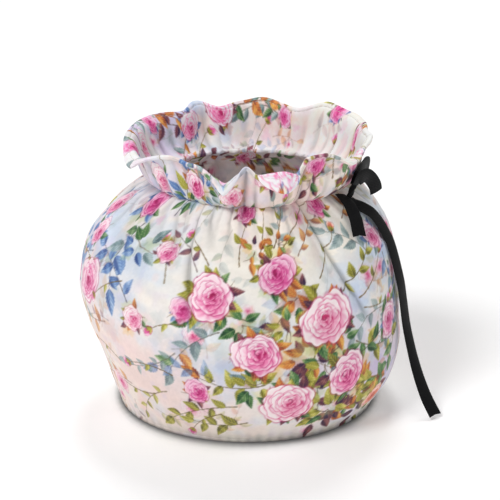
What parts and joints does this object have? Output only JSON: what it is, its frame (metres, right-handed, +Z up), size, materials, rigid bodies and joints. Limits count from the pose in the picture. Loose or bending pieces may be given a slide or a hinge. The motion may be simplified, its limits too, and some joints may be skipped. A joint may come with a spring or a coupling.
{
  "type": "tea cosy",
  "caption": "Drawstring tea cosy of padded printed cloth that stands on its hem, with a gathered frilled neck, a black ribbon bow, a spout slit and a handle slit.",
  "frame": {"origin": "on the surface it stands on, at the middle of the cloth's footprint", "axes": "+Z up through the neck; the front, opposite the back panel, faces -Y; the spout slit is at -X and the handle slit at +X"},
  "size_m": [0.1988, 0.1719, 0.1551],
  "materials": {
    "printed_cloth": "matt woven print",
    "black_ribbon": "soft woven tape"
  },
  "bodies": {
    "root": {"front_panel": "printed_cloth", "back_panel": "printed_cloth", "ribbon_knot": "black_ribbon", "ribbon_tail_long": "black_ribbon", "ribbon_tail_short": "black_ribbon", "ribbon_loop_high": "black_ribbon", "ribbon_loop_low": "black_ribbon"}
  },
  "joints": []
}
